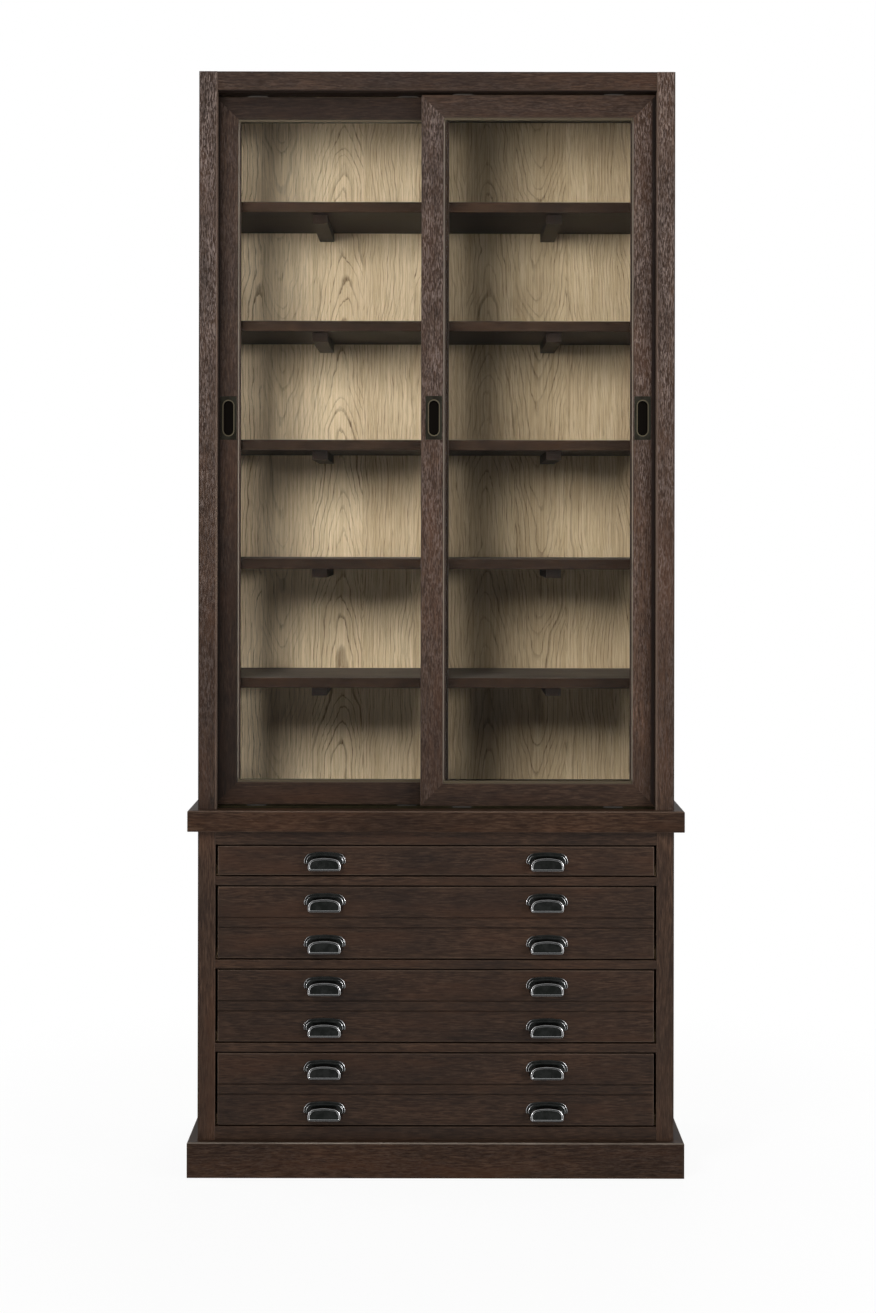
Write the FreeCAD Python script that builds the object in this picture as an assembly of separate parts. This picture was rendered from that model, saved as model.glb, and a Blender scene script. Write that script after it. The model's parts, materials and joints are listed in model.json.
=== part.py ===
import FreeCAD, Part
import math
import os

V = FreeCAD.Vector

# Whole cabinet, in millimetres
total_height = 2300.0
carcass_width = 992.0
carcass_depth = 425.0
overhang = 20.0
side_thickness = 28.0
frame_thickness = 22.0
back_thickness = 8.0
edge_round = 1.5
top_round = 3.0

# Plinth and waist ledge
plinth_height = 74.0
plinth_thickness = 46.0
ledge_thickness = 44.0
ledge_edging_width = 60.0
ledge_panel_thickness = 22.0

# Face frame and openings of the chest
base_stile_width = 36.5
base_bottom_rail_height = 28.0
drawer_rail_height = 18.0
base_top_rail_height = 29.0
base_floor_thickness = 18.0
deep_opening_height = 155.5
shallow_opening_height = 66.5
deep_drawer_count = 3

# Drawers
drawer_gap = 3.2
drawer_side_gap = 5.0
drawer_front_thickness = 20.0
drawer_front_setback = 1.0
box_board_thickness = 12.0
box_side_clearance = 7.0
box_top_clearance = 10.0
box_back_drop = 12.0
drawer_bottom_thickness = 6.0
drawer_bottom_rise = 8.0
drawer_bottom_housing = 5.0
drawer_rear_gap = 14.0
mock_rail_height = 18.0
mock_groove_width = 3.0
mock_groove_depth = 3.0

# Drawer runners and guides
runner_width = 40.0
guide_height = 20.0
guide_clearance = 0.5
running_clearance = 0.3

# Cup pulls and their screws
cup_width = 86.0
cup_height = 37.0
cup_spread = 463.0
flange_rise = 12.0
flange_corner = 18.0
flange_step = 4.5
flange_step_thickness = 2.6
flange_foot_corner = 4.0
flange_round = 0.9
hood_width = 68.0
hood_height = 27.0
hood_projection = 19.0
hood_flare = 3.0
hood_corner = 16.0
hood_foot_corner = 5.5
arch_crown = 2.0
hood_wall = 2.5
hood_bead_width = 4.0
hood_bead_proud = 2.0
hood_bead_round = 1.6
screw_spread = 77.0
screw_rise = 20.0
screw_radius = 1.7
screw_head_radius = 3.6
screw_head_height = 2.4
screw_bite = 2.0
screw_clearance = 0.25

# Hutch
hutch_stile_width = 38.5
head_rail_height = 40.0
hutch_top_thickness = 30.0
hutch_floor_thickness = 18.0
divider_thickness = 22.0
shelf_count = 5
shelf_thickness = 22.0
shelf_setback = 80.0
shelf_end_clearance = 0.5
batten_width = 32.0
batten_height = 19.0
batten_spread = 500.0
batten_setback = 38.0
pin_radius = 3.0
pin_embed = 10.0
pin_reach = 9.0
pin_inset = 50.0
pin_clearance = 0.15

# Sliding doors
door_lap = 58.5
left_door_gap = 2.5
right_door_gap = 10.0
door_thickness = 22.0
door_front_gap = 2.0
door_plane_gap = 4.0
door_foot_gap = 5.0
door_head_gap = 4.0
door_bar_width = 47.0
bead_width = 5.0
bead_thickness = 6.0
bead_setback = 4.0
glass_thickness = 4.0
glass_clearance = 1.0
bead_round = 2.0

# Door tracks and glides
track_plate_thickness = 1.0
track_rib_width = 4.0
track_edge_margin = 2.0
track_clearance = 0.5
glide_pad_thickness = 1.0
glide_cheek_thickness = 3.0
glide_length = 40.0
glide_inset = 87.0
tongue_thickness = 4.0
tongue_engagement = 5.0
tongue_root = 6.0
track_groove_depth = 7.0

# Flush pulls
plate_width = 34.5
plate_height = 91.5
plate_thickness = 1.6
plate_proud = 0.8
recess_width = 21.0
recess_height = 73.0
recess_depth = 9.0
recess_wall = 1.5
rim_width = 2.0
rim_proud = 0.7
flush_pull_rise = 813.0
flush_pull_inset = 27.0
flush_pocket_clearance = 0.3

# Modelling helpers
overrun = 5.0
touch_tolerance = 0.001
along_share = 0.99
diagonal_share = math.sqrt(0.5)

# Derived places
pull_reach = hood_projection + hood_bead_proud - drawer_front_setback
front_reach = max(overhang, pull_reach)
front_y = front_reach - (carcass_depth + front_reach) / 2
back_y = front_y + carcass_depth
frame_back_y = front_y + frame_thickness
panel_y = back_y - back_thickness
half_width = carcass_width / 2
inner_half = half_width - side_thickness
wide_half = half_width + overhang
wide_front_y = front_y - overhang
frame_bottom = plinth_height
openings_height = deep_drawer_count * (deep_opening_height + drawer_rail_height) + shallow_opening_height
base_top = plinth_height + base_bottom_rail_height + openings_height + base_top_rail_height
ledge_top = base_top + ledge_thickness
ceiling = total_height - hutch_top_thickness
hutch_floor_top = ledge_top + hutch_floor_thickness
base_opening_half = half_width - base_stile_width
floor_top = plinth_height + base_floor_thickness

nodes = {}


def board(x0, x1, y0, y1, z0, z1):
    """A square-edged board between two opposite corners."""
    return Part.makeBox(x1 - x0, y1 - y0, z1 - z0, V(x0, y0, z0))


def edges_along(shape, axis):
    """The straight edges that run along an axis."""
    return [e for e in shape.Edges if abs(e.tangentAt(e.FirstParameter).dot(axis)) > along_share]


def edges_on(shape, axis_name, place):
    """The edges that lie in the plane where x, y or z has one value."""
    def flat(edge):
        return all(abs(getattr(v.Point, axis_name) - place) < touch_tolerance for v in edge.Vertexes)
    return [edge for edge in shape.Edges if flat(edge)]


def long_eased(shape, axis, radius=edge_round):
    """A board with its four long edges eased."""
    return shape.makeFillet(radius, edges_along(shape, axis))


def prism_xz(points, y0, y1):
    """An outline of x, z points run from y0 back to y1."""
    wire = Part.makePolygon([V(x, y0, z) for x, z in points + points[:1]])
    return Part.Face(wire).extrude(V(0, y1 - y0, 0))


def prism_xy(points, z0, z1):
    """An outline of x, y points run from z0 up to z1."""
    wire = Part.makePolygon([V(x, y, z0) for x, y in points + points[:1]])
    return Part.Face(wire).extrude(V(0, 0, z1 - z0))


def mirrored(shape):
    """The same shape on the other side of the cabinet."""
    return shape.mirror(V(0, 0, 0), V(1, 0, 0))


def cut_all(shape, tools):
    """A shape with several cuts taken out of it."""
    return shape.cut(Part.makeCompound(tools)) if tools else shape


def keep(name, *shapes):
    """Store the solids of one node."""
    nodes[name] = [solid for shape in shapes for solid in shape.Solids]


def mitre_zone_xz(x0, x1, z0, z1, width, y0, y1, side):
    """The wedge of a rectangular frame that one mitred bar fills, past its outer edge."""
    o = overrun
    corners = {
        "left": [(x0 - o, z0 - o), (x0 + width, z0 + width), (x0 + width, z1 - width), (x0 - o, z1 + o)],
        "right": [(x1 + o, z0 - o), (x1 - width, z0 + width), (x1 - width, z1 - width), (x1 + o, z1 + o)],
        "bottom": [(x0 - o, z0 - o), (x0 + width, z0 + width), (x1 - width, z0 + width), (x1 + o, z0 - o)],
        "top": [(x0 - o, z1 + o), (x0 + width, z1 - width), (x1 - width, z1 - width), (x1 + o, z1 + o)],
    }
    return prism_xz(corners[side], y0 - o, y1 + o)


def mitred_rim(z0, z1, width):
    """Front and two ends of an overhanging rim, mitred at the front corners."""
    block = board(-wide_half, wide_half, wide_front_y, back_y, z0, z1)
    upper = edges_on(block, "z", z1)
    block = block.makeFillet(top_round, [e for e in upper if e.CenterOfMass.y < back_y - touch_tolerance])
    lower = [e for e in edges_on(block, "z", z0) if e.CenterOfMass.y < back_y - touch_tolerance]
    block = block.makeFillet(edge_round, lower)
    o = overrun
    inner_x = wide_half - width
    inner_y = wide_front_y + width
    front_points = [(-wide_half - o, wide_front_y - o), (wide_half + o, wide_front_y - o),
                    (inner_x, inner_y), (-inner_x, inner_y)]
    end_points = [(-wide_half - o, wide_front_y - o), (-inner_x, inner_y),
                  (-inner_x, back_y), (-wide_half - o, back_y)]
    front = block.common(prism_xy(front_points, z0 - o, z1 + o))
    left = block.common(prism_xy(end_points, z0 - o, z1 + o))
    return front, left, mirrored(left)


def build_plinth():
    """Four plinth boards, with the front corners mitred."""
    front, left, right = mitred_rim(0, plinth_height, plinth_thickness)
    inner_x = wide_half - plinth_thickness
    back = board(-inner_x, inner_x, back_y - plinth_thickness, back_y, 0, plinth_height)
    keep("plinth_front", front)
    keep("plinth_sides", left, right)
    keep("plinth_back", back)


def build_ledge():
    """Waist ledge: thick mitred edging round a thinner panel."""
    front, left, right = mitred_rim(base_top, ledge_top, ledge_edging_width)
    inner_x = wide_half - ledge_edging_width
    panel_back_y = back_y - ledge_edging_width
    back = board(-inner_x, inner_x, panel_back_y, back_y, base_top, ledge_top)
    panel = board(-inner_x, inner_x, wide_front_y + ledge_edging_width, panel_back_y,
                  ledge_top - ledge_panel_thickness, ledge_top)
    keep("ledge_front", front)
    keep("ledge_ends", left, right)
    keep("ledge_back", back)
    keep("ledge_panel", panel)


def drawer_openings():
    """Low and high edge of each drawer opening, the top drawer first."""
    spans = []
    low = frame_bottom + base_bottom_rail_height
    for _ in range(deep_drawer_count):
        spans.insert(0, (low, low + deep_opening_height))
        low += deep_opening_height + drawer_rail_height
    spans.insert(0, (low, low + shallow_opening_height))
    return spans


def build_chest():
    """Chest carcass: sides, face frame, floor, back, runners and guides."""
    left_side = board(-half_width, -inner_half, frame_back_y, back_y, frame_bottom, base_top)
    keep("base_sides", left_side, mirrored(left_side))
    stile = board(-half_width, -base_opening_half, front_y, frame_back_y, frame_bottom, base_top)
    stile = long_eased(stile, V(0, 0, 1))
    keep("base_stiles", stile, mirrored(stile))

    def rail(z0, z1):
        bar = board(-base_opening_half, base_opening_half, front_y, frame_back_y, z0, z1)
        return long_eased(bar, V(1, 0, 0))

    keep("base_top_rail", rail(base_top - base_top_rail_height, base_top))
    keep("base_bottom_rail", rail(frame_bottom, frame_bottom + base_bottom_rail_height))
    spans = drawer_openings()
    keep("drawer_rails", *[rail(low - drawer_rail_height, low) for low, _ in spans[:-1]])
    keep("base_floor", board(-inner_half, inner_half, frame_back_y, panel_y, plinth_height, floor_top))
    keep("base_back", board(-inner_half, inner_half, panel_y, back_y, plinth_height, base_top))

    runners = []
    guides = []
    box_half = base_opening_half - box_side_clearance
    for index, (low, _) in enumerate(spans):
        is_lowest = index == len(spans) - 1
        foot = floor_top if is_lowest else low - drawer_rail_height
        runner = board(-inner_half, -inner_half + runner_width, frame_back_y, panel_y, foot, low)
        guide = board(-inner_half, -box_half - guide_clearance, frame_back_y, panel_y,
                      low, low + guide_height)
        runners += [runner, mirrored(runner)]
        guides += [guide, mirrored(guide)]
    kicker = board(-inner_half, -inner_half + runner_width, frame_back_y, panel_y,
                   base_top - base_top_rail_height, base_top)
    keep("drawer_runners", *runners, kicker, mirrored(kicker))
    keep("drawer_guides", *guides)


def arch_wire(x, y, z, width, height, corner, foot_corner):
    """A smooth arch in the plane at y, centred on x, with its flat foot at z and its foot corners rounded."""
    half = width / 2
    foot_bend = foot_corner * (1 - diagonal_share)
    across = half - corner
    spring_z = z + height - arch_crown - corner
    reach = (across ** 2 + arch_crown ** 2) / (2 * arch_crown)
    join_angle = math.atan2(reach - arch_crown, across)

    def pair(out, up):
        return V(x - out, y, up), V(x + out, y, up)

    def on_corner(angle):
        return pair(across + corner * math.cos(angle), spring_z + corner * math.sin(angle))

    foot = pair(half - foot_corner, z)
    foot_turn = pair(half - foot_bend, z + foot_bend)
    rise = pair(half, z + foot_corner)
    spring = pair(half, spring_z)
    turn = on_corner(join_angle / 2)
    join = on_corner(join_angle)
    crown = V(x, y, z + height)
    return Part.Wire([
        Part.Arc(foot[0], foot_turn[0], rise[0]).toShape(),
        Part.LineSegment(rise[0], spring[0]).toShape(),
        Part.Arc(spring[0], turn[0], join[0]).toShape(),
        Part.Arc(join[0], crown, join[1]).toShape(),
        Part.Arc(join[1], turn[1], spring[1]).toShape(),
        Part.LineSegment(spring[1], rise[1]).toShape(),
        Part.Arc(rise[1], foot_turn[1], foot[1]).toShape(),
        Part.LineSegment(foot[1], foot[0]).toShape(),
    ])


def arch_plate(x, y, z, width, height, corner, foot_corner, thickness):
    """An arch run forward from the plane at y."""
    face = Part.Face(arch_wire(x, y, z, width, height, corner, foot_corner))
    return face.extrude(V(0, -thickness, 0))


def front_eased(shape, y, radius):
    """A shape with the edges of its front face, in the plane at y, rounded."""
    return shape.makeFillet(radius, edges_on(shape, "y", y))


def cup_pull(x, face_y, z):
    """A stepped flange with a flared hood, beaded in front, hollow and open underneath."""
    foot = z - cup_height / 2
    flange_height = cup_height - flange_rise
    plates = []
    for step in (0, 1):
        thickness = (step + 1) * flange_step_thickness
        plate = arch_plate(x, face_y, foot + flange_rise, cup_width - 2 * step * flange_step,
                           flange_height - step * flange_step, flange_corner - step * flange_step,
                           flange_foot_corner, thickness)
        plates.append(front_eased(plate, face_y - thickness, flange_round))
    tip_y = face_y - hood_projection
    hood = Part.makeLoft([
        arch_wire(x, face_y, foot, hood_width + 2 * hood_flare, hood_height + hood_flare,
                  hood_corner, hood_foot_corner),
        arch_wire(x, tip_y, foot, hood_width, hood_height, hood_corner, hood_foot_corner)], True, True)
    bead = arch_plate(x, tip_y, foot, hood_width, hood_height, hood_corner, hood_foot_corner, hood_bead_proud)
    bead = bead.cut(arch_plate(x, tip_y, foot + hood_bead_width, hood_width - 2 * hood_bead_width,
                               hood_height - 2 * hood_bead_width, hood_corner - hood_bead_width,
                               hood_foot_corner - hood_bead_width, hood_bead_proud + overrun))
    bead = front_eased(bead, tip_y - hood_bead_proud, hood_bead_round)
    inner_corner = hood_corner - hood_wall
    inner_height = hood_height - hood_wall + overrun
    hollow = Part.makeLoft([
        arch_wire(x, face_y, foot - overrun, hood_width + 2 * (hood_flare - hood_wall),
                  inner_height + hood_flare, inner_corner, hood_foot_corner),
        arch_wire(x, tip_y + hood_wall, foot - overrun, hood_width - 2 * hood_wall,
                  inner_height, inner_corner, hood_foot_corner)], True, True)
    bores = [Part.makeCylinder(screw_radius + screw_clearance, screw_bite + screw_clearance,
                               V(sx, face_y, foot + screw_rise), V(0, -1, 0))
             for sx in screw_places(x)]
    return cut_all(plates[0].fuse([plates[1], hood, bead]), [hollow] + bores).removeSplitter()


def screw_places(x):
    """Where the two screws of the pull at x stand."""
    return [x - screw_spread / 2, x + screw_spread / 2]


def pull_screw(x, face_y, inside_y, z):
    """A pan-headed screw from inside the drawer into the pull's flange."""
    shank = Part.makeCylinder(screw_radius, inside_y - face_y + screw_bite,
                              V(x, face_y - screw_bite, z), V(0, 1, 0))
    head = Part.makeCylinder(screw_head_radius, screw_head_height, V(x, inside_y, z), V(0, 1, 0))
    return shank.fuse(head).removeSplitter()


def build_drawer(number, low, high):
    """One drawer: front, box, bottom, pulls and screws."""
    name = "drawer_%d" % number
    front_half = base_opening_half - drawer_side_gap
    face_y = front_y + drawer_front_setback
    inside_y = face_y + drawer_front_thickness
    z0 = low + drawer_gap
    z1 = high - drawer_gap
    centre = (z0 + z1) / 2
    is_deep = high - low > (deep_opening_height + shallow_opening_height) / 2

    front = board(-front_half, front_half, face_y, inside_y, z0, z1)
    front = front.makeFillet(edge_round, edges_on(front, "y", face_y))
    rows = [centre]
    cuts = []
    if is_deep:
        groove_offset = (mock_rail_height + mock_groove_width) / 2
        for groove_z in (centre - groove_offset, centre + groove_offset):
            cuts.append(board(-front_half - overrun, front_half + overrun,
                              face_y - overrun, face_y + mock_groove_depth,
                              groove_z - mock_groove_width / 2, groove_z + mock_groove_width / 2))
        groove_edge = groove_offset + mock_groove_width / 2
        row_offset = (groove_edge + (z1 - z0) / 2) / 2
        rows = [centre - row_offset, centre + row_offset]

    pulls = []
    screws = []
    for row in rows:
        for x in (-cup_spread / 2, cup_spread / 2):
            pulls.append(cup_pull(x, face_y, row))
            screw_z = row - cup_height / 2 + screw_rise
            for sx in screw_places(x):
                cuts.append(Part.makeCylinder(screw_radius + screw_clearance,
                                              drawer_front_thickness + 2 * overrun,
                                              V(sx, face_y - overrun, screw_z), V(0, 1, 0)))
                screws.append(pull_screw(sx, face_y, inside_y, screw_z))

    box_half = base_opening_half - box_side_clearance
    box_low = low + running_clearance
    box_high = high - box_top_clearance
    box_back = panel_y - drawer_rear_gap
    inner = box_half - box_board_thickness
    bottom_low = box_low + drawer_bottom_rise
    bottom_high = bottom_low + drawer_bottom_thickness
    housing = inner + drawer_bottom_housing
    bottom = board(-housing, housing, inside_y - drawer_bottom_housing, box_back, bottom_low, bottom_high)
    side = board(-box_half, -inner, inside_y, box_back, box_low, box_high).cut(bottom)
    back = board(-inner, inner, box_back - box_board_thickness, box_back,
                 bottom_high, box_high - box_back_drop)
    cuts.append(bottom)
    keep(name + "_front", cut_all(front, cuts))
    keep(name + "_box", side, mirrored(side), back)
    keep(name + "_bottom", bottom)
    keep(name + "_pulls", *pulls)
    keep(name + "_pull_screws", *screws)


def shelf_tops():
    """Height of each shelf's top face, from the lowest up."""
    clear = (ceiling - hutch_floor_top - shelf_count * shelf_thickness) / (shelf_count + 1)
    pitch = clear + shelf_thickness
    return [hutch_floor_top + pitch * (step + 1) for step in range(shelf_count)]


def build_shelves(shelf_front):
    """Half shelves with their battens, on pins; gives back the pin holes of a side and of the divider."""
    divider_half = divider_thickness / 2
    middle_length = divider_thickness + 2 * pin_reach
    pin_ys = (shelf_front + pin_inset, panel_y - pin_inset)
    side_pins = []
    side_holes = []
    middle_pins = []
    middle_holes = []
    shelves = []
    battens = []
    for top in shelf_tops():
        under = top - shelf_thickness
        for y in pin_ys:
            place = V(-inner_half - pin_embed, y, under - pin_radius)
            side_pins.append(Part.makeCylinder(pin_radius, pin_embed + pin_reach, place, V(1, 0, 0)))
            side_holes.append(Part.makeCylinder(pin_radius + pin_clearance, pin_embed + overrun,
                                                place, V(1, 0, 0)))
            place = V(-divider_half - pin_reach, y, under - pin_radius)
            middle_pins.append(Part.makeCylinder(pin_radius, middle_length, place, V(1, 0, 0)))
            middle_holes.append(Part.makeCylinder(pin_radius + pin_clearance, middle_length,
                                                  place, V(1, 0, 0)))
        shelf = board(-inner_half + shelf_end_clearance, -divider_half - shelf_end_clearance,
                      shelf_front, panel_y, under, top)
        shelf = shelf.makeFillet(edge_round, edges_on(shelf, "y", shelf_front))
        shelves += [shelf, mirrored(shelf)]
        batten = board(-(batten_spread + batten_width) / 2, -(batten_spread - batten_width) / 2,
                       shelf_front + batten_setback, panel_y, under - batten_height, under)
        battens += [batten, mirrored(batten)]
    keep("shelves", *shelves)
    keep("shelf_battens", *battens)
    keep("shelf_pins", *side_pins, *[mirrored(pin) for pin in side_pins], *middle_pins)
    return side_holes, middle_holes


def build_hutch():
    """Hutch carcass: shelves, sides, divider, face frame, top, floor and back."""
    shelf_front = front_y + shelf_setback
    side_holes, middle_holes = build_shelves(shelf_front)
    side = board(-half_width, -inner_half, frame_back_y, back_y, ledge_top, total_height)
    side = cut_all(side, side_holes)
    keep("hutch_sides", side, mirrored(side))
    divider = board(-divider_thickness / 2, divider_thickness / 2, shelf_front, panel_y,
                    hutch_floor_top, ceiling)
    keep("hutch_divider", cut_all(long_eased(divider, V(0, 0, 1)), middle_holes))

    opening_half = half_width - hutch_stile_width
    stile = board(-half_width, -opening_half, front_y, frame_back_y, ledge_top, total_height)
    stile = long_eased(stile, V(0, 0, 1))
    keep("hutch_stiles", stile, mirrored(stile))
    head = board(-opening_half, opening_half, front_y, frame_back_y,
                 total_height - head_rail_height, total_height)
    keep("head_rail", long_eased(head, V(1, 0, 0)))
    keep("hutch_top", board(-inner_half, inner_half, frame_back_y, panel_y, ceiling, total_height))
    keep("hutch_floor", board(-inner_half, inner_half, shelf_front, panel_y, ledge_top, hutch_floor_top))
    keep("hutch_back", board(-inner_half, inner_half, panel_y, back_y, ledge_top, total_height))


door_foot = ledge_top + door_foot_gap
track_under = total_height - head_rail_height
door_head = track_under - door_head_gap
door_width = (2 * inner_half - left_door_gap - right_door_gap + door_lap) / 2
front_door_y = frame_back_y + door_front_gap
rear_door_y = front_door_y + door_thickness + door_plane_gap


def build_tracks():
    """Lower plate with two ribs, and upper plate with strips that leave two grooves."""
    middles = [y + door_thickness / 2 for y in (front_door_y, rear_door_y)]
    y0 = frame_back_y
    y1 = rear_door_y + door_thickness + track_edge_margin
    plate_top = ledge_top + track_plate_thickness
    rib_top = door_foot - glide_pad_thickness - running_clearance
    rib_half = track_rib_width / 2
    lower = [board(-inner_half, inner_half, y0, y1, ledge_top, plate_top)]
    lower += [board(-inner_half, inner_half, middle - rib_half, middle + rib_half, plate_top, rib_top)
              for middle in middles]
    groove_half = tongue_thickness / 2 + track_clearance
    groove_top = track_under + track_groove_depth
    edges = [y0]
    for middle in middles:
        edges += [middle - groove_half, middle + groove_half]
    edges.append(y1)
    upper = [board(-inner_half, inner_half, y0, y1, groove_top, ceiling)]
    upper += [board(-inner_half, inner_half, a, b, track_under, groove_top)
              for a, b in zip(edges[::2], edges[1::2])]
    keep("lower_track", *lower)
    keep("upper_track", *upper)


def stadium(x, y, z, width, height):
    """A round-ended slot outline, standing upright in the plane at y."""
    half = width / 2
    rise = height / 2 - half
    corners = [V(x - half, y, z - rise), V(x - half, y, z + rise),
               V(x + half, y, z + rise), V(x + half, y, z - rise)]
    return Part.Face(Part.Wire([
        Part.LineSegment(corners[0], corners[1]).toShape(),
        Part.Arc(corners[1], V(x, y, z + rise + half), corners[2]).toShape(),
        Part.LineSegment(corners[2], corners[3]).toShape(),
        Part.Arc(corners[3], V(x, y, z - rise - half), corners[0]).toShape(),
    ]))


def flush_pull(x, face_y, z):
    """A plate with a raised rim round a slot-shaped finger recess."""
    plate_y = face_y - plate_proud
    plate = board(x - plate_width / 2, x + plate_width / 2, plate_y, plate_y + plate_thickness,
                  z - plate_height / 2, z + plate_height / 2)
    plate = plate.makeFillet(plate_proud / 2, edges_on(plate, "y", plate_y))
    rim = stadium(x, plate_y + plate_thickness, z, recess_width + 2 * rim_width,
                  recess_height + 2 * rim_width).extrude(V(0, -plate_thickness - rim_proud, 0))
    cup = stadium(x, plate_y, z, recess_width + 2 * recess_wall,
                  recess_height + 2 * recess_wall).extrude(V(0, recess_depth + recess_wall, 0))
    hollow = stadium(x, plate_y - overrun, z, recess_width, recess_height)
    hollow = hollow.extrude(V(0, recess_depth + overrun, 0))
    return plate.fuse([rim, cup]).cut(hollow).removeSplitter()


def flush_pocket(x, face_y, z):
    """The room that a flush pull takes in a door stile."""
    half_across = plate_width / 2 + flush_pocket_clearance
    half_up = plate_height / 2 + flush_pocket_clearance
    plate_room = board(x - half_across, x + half_across, face_y - overrun,
                       face_y - plate_proud + plate_thickness, z - half_up, z + half_up)
    wall = recess_wall + flush_pocket_clearance
    cup_room = stadium(x, face_y - plate_proud, z, recess_width + 2 * wall, recess_height + 2 * wall)
    cup_room = cup_room.extrude(V(0, recess_depth + wall, 0))
    return plate_room.fuse(cup_room)


def build_door(name, x0, y0):
    """One glazed door: mitred frame, glass, beads, flush pulls and glides."""
    x1 = x0 + door_width
    y1 = y0 + door_thickness
    z0 = door_foot
    z1 = door_head
    middle = (y0 + y1) / 2
    w = door_bar_width

    # Frame with its front edges eased, then pockets, then the mitres
    frame = board(x0, x1, y0, y1, z0, z1)
    frame = frame.cut(board(x0 + w, x1 - w, y0 - overrun, y1 + overrun, z0 + w, z1 - w))
    frame = frame.makeFillet(edge_round, edges_on(frame, "y", y0))
    pull_z = z0 + flush_pull_rise
    pull_xs = (x0 + flush_pull_inset, x1 - flush_pull_inset)
    cuts = [flush_pocket(x, y0, pull_z) for x in pull_xs]

    # Pads ride on the lower rib between two cheeks, tongues run in the upper track
    glides = []
    slot_half = track_rib_width / 2 + track_clearance
    cheek_half = slot_half + glide_cheek_thickness
    cheek_foot = ledge_top + track_plate_thickness + track_clearance
    for centre in (x0 + glide_inset, x1 - glide_inset):
        a = centre - glide_length / 2
        b = centre + glide_length / 2
        pad = board(a, b, middle - slot_half, middle + slot_half, z0 - glide_pad_thickness, z0)
        cheeks = [board(a, b, middle - cheek_half, middle - slot_half, cheek_foot, z0),
                  board(a, b, middle + slot_half, middle + cheek_half, cheek_foot, z0)]
        tongue = board(a, b, middle - tongue_thickness / 2, middle + tongue_thickness / 2,
                       z1 - tongue_root, track_under + tongue_engagement)
        cuts.append(tongue)
        glides += [pad, tongue] + cheeks
    frame = cut_all(frame, cuts)
    bars = {side: frame.common(mitre_zone_xz(x0, x1, z0, z1, w, y0, y1, side))
            for side in ("left", "right", "bottom", "top")}
    keep(name + "_stiles", bars["left"], bars["right"])
    keep(name + "_rails", bars["bottom"], bars["top"])
    keep(name + "_glides", *glides)

    # Glass between a front and a rear set of mitred beads
    ix0, ix1, iz0, iz1 = x0 + w, x1 - w, z0 + w, z1 - w
    glass_y = y0 + bead_setback + bead_thickness
    c = glass_clearance
    keep(name + "_glass", board(ix0 + c, ix1 - c, glass_y, glass_y + glass_thickness, iz0 + c, iz1 - c))
    beads = []
    for bead_y, round_y in ((glass_y - bead_thickness, glass_y - bead_thickness),
                            (glass_y + glass_thickness, glass_y + glass_thickness + bead_thickness)):
        ring = board(ix0, ix1, bead_y, bead_y + bead_thickness, iz0, iz1)
        hole = board(ix0 + bead_width, ix1 - bead_width, bead_y - overrun, bead_y + bead_thickness + overrun,
                     iz0 + bead_width, iz1 - bead_width)
        ring = ring.cut(hole)
        shown = [e for e in edges_on(ring, "y", round_y)
                 if ix0 + touch_tolerance < e.CenterOfMass.x < ix1 - touch_tolerance
                 and iz0 + touch_tolerance < e.CenterOfMass.z < iz1 - touch_tolerance]
        ring = ring.makeFillet(bead_round, shown)
        for side in ("left", "right", "bottom", "top"):
            beads.append(ring.common(mitre_zone_xz(ix0, ix1, iz0, iz1, bead_width, bead_y,
                                                   bead_y + bead_thickness, side)))
    keep(name + "_beads", *beads)
    keep(name + "_pulls", *[flush_pull(x, y0, pull_z) for x in pull_xs])


def main():
    """Build every node and write one file for each."""
    build_plinth()
    build_ledge()
    build_chest()
    for number, (low, high) in enumerate(drawer_openings(), start=1):
        build_drawer(number, low, high)
    build_hutch()
    build_tracks()
    build_door("left_door", left_door_gap - inner_half, rear_door_y)
    build_door("right_door", inner_half - right_door_gap - door_width, front_door_y)
    os.makedirs("parts", exist_ok=True)
    for name, solids in nodes.items():
        shape = solids[0] if len(solids) == 1 else Part.makeCompound(solids)
        shape.exportStep("parts/%s.step" % name)
    print("nodes", len(nodes), "solids", sum(len(s) for s in nodes.values()))


main()
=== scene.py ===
import bpy
import json
import math
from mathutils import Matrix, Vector


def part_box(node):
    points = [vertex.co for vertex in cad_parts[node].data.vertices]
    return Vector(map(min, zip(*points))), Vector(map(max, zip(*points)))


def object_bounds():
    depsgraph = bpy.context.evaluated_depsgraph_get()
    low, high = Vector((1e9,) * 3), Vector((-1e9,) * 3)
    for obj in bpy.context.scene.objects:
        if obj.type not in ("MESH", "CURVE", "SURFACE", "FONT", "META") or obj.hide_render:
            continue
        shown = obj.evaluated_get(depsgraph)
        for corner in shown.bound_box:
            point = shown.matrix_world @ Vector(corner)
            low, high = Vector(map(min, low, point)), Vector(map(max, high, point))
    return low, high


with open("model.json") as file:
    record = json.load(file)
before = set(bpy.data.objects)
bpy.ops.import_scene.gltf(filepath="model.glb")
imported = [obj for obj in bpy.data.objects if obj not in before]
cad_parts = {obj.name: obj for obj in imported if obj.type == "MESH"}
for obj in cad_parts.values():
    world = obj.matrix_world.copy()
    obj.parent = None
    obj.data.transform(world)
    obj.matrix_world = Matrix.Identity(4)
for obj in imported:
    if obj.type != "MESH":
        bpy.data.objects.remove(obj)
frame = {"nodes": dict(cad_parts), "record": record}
cad_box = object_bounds()
nodes = frame["nodes"]
slot_of = {row["node"]: row["material_slot"] for row in frame["record"]["subparts"]}
scene = bpy.context.scene

# Camera, from the photograph's frame of 876 by 1313 pixels
image_height = 1313
horizon_row = 531
focal_pixels = 2218
sensor_size = 36.0
camera_place = (0.003, -4.822, 1.343)
level_tilt = math.radians(90)
camera_roll = math.radians(-0.10)

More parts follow.
